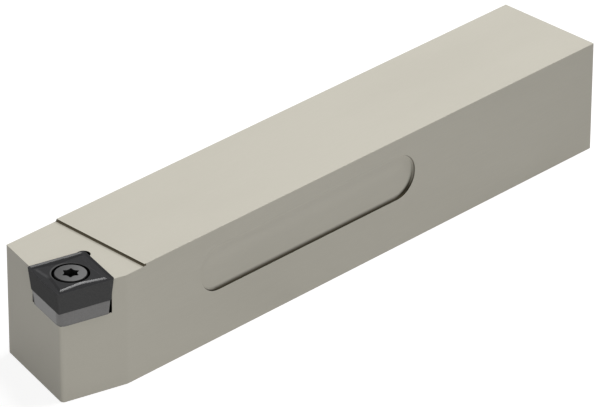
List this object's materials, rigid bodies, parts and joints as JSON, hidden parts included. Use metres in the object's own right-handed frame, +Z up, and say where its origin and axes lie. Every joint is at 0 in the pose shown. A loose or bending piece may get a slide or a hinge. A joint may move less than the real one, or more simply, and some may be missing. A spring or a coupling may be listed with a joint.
{
  "type": "turning tool holder",
  "caption": "Right-hand external turning tool holder: square steel shank, slewed head and a screw-clamped square insert on a shim in a leaning pocket.",
  "frame": {"origin": "middle of the flat bottom, halfway along the length to the cutting corner and halfway across the shank", "axes": "+X along the shank to the cutting nose, +Y to the side that cuts, +Z up from the flat bottom to the cutting edges"},
  "size_m": [0.1498, 0.0251, 0.0251],
  "materials": {
    "holder_steel": "satin plated steel, warm grey",
    "shim_carbide": "ground hard metal, bare grey",
    "shim_screw_steel": "blackened steel",
    "insert_carbide": "dark coated hard metal, matt",
    "insert_screw_steel": "dull grey hardened steel"
  },
  "bodies": {
    "holder": {"holder_body": "holder_steel", "shim": "shim_carbide", "shim_screw": "shim_screw_steel"},
    "insert": {"insert": "insert_carbide"},
    "insert_screw": {"insert_screw": "insert_screw_steel"}
  },
  "joints": [
    {"name": "insert_lift", "type": "slide", "parent": "holder", "child": "insert", "axis": [0, 0, 1], "range_m": [0, 0.0064]},
    {"name": "screw_turn", "type": "hinge", "parent": "insert", "child": "insert_screw", "pos_m": [0.06722, 0.00501, 0.025], "axis": [0, 0, 1], "range_deg": [0, 2880]}
  ],
  "couplings": [
    {"joint": "screw_turn", "follows": "insert_lift", "rad_per_m": 7854}
  ]
}
